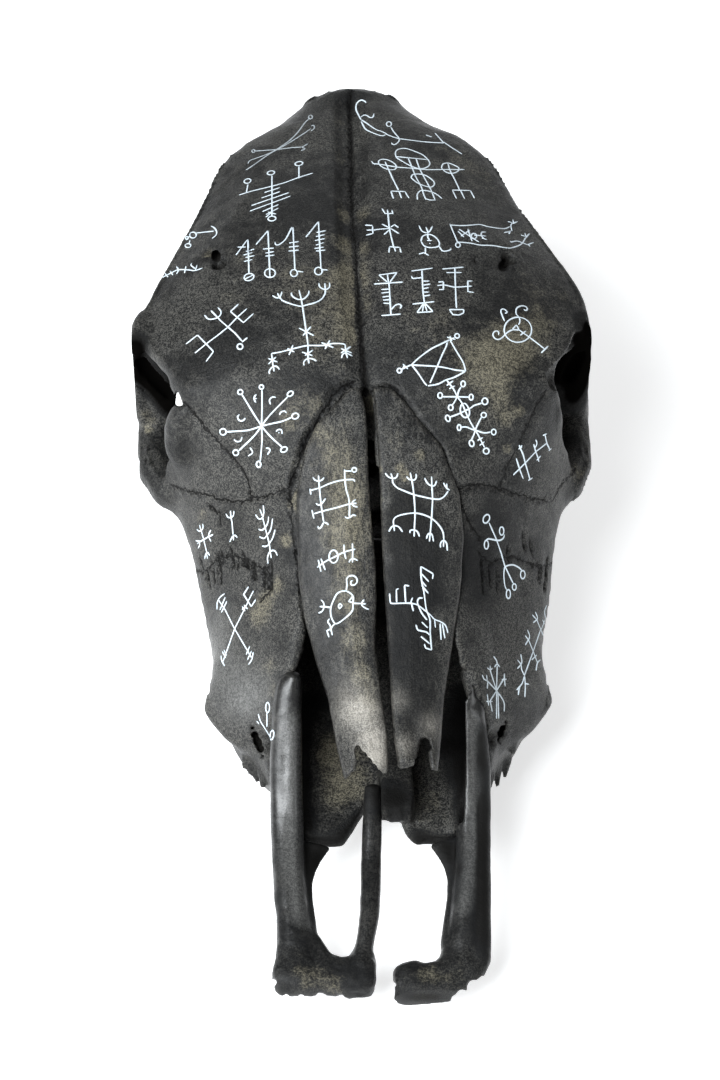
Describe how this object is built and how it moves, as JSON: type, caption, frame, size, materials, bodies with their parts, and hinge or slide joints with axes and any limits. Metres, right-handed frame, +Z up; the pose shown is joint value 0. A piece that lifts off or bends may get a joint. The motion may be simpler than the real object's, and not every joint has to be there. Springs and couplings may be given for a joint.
{
  "type": "decorated cow skull",
  "caption": "Hornless cow skull without its lower jaw, blackened and marked with fine white stave figures, resting on its molars and jugular processes.",
  "frame": {"origin": "middle of the footprint, on the surface that the skull rests on", "axes": "+Z up from the resting surface, -Y towards the muzzle, +X to the right of someone facing the forehead from the muzzle's side"},
  "size_m": [0.2056, 0.4344, 0.1697],
  "materials": {
    "blackened_bone": "black pigment rubbed over bone, grainy satin with brown worn patches",
    "worn_nasal_bone": "black pigment worn to brown-beige bone along the crown, semi-gloss tips",
    "polished_muzzle_bone": "black pigment on dense bone, polished by handling",
    "tooth_enamel": "stained enamel and dark dentine, satin",
    "white_paint": "thin matt white paint lines drawn by hand"
  },
  "bodies": {
    "root": {"skull": "blackened_bone", "nasal_bone_left": "worn_nasal_bone", "nasal_bone_right": "worn_nasal_bone", "incisive_bone_left": "polished_muzzle_bone", "incisive_bone_right": "polished_muzzle_bone", "molar_left_1": "tooth_enamel", "molar_left_2": "tooth_enamel", "molar_left_3": "tooth_enamel", "molar_right_1": "tooth_enamel", "molar_right_2": "tooth_enamel", "molar_right_3": "tooth_enamel"}
  },
  "joints": []
}
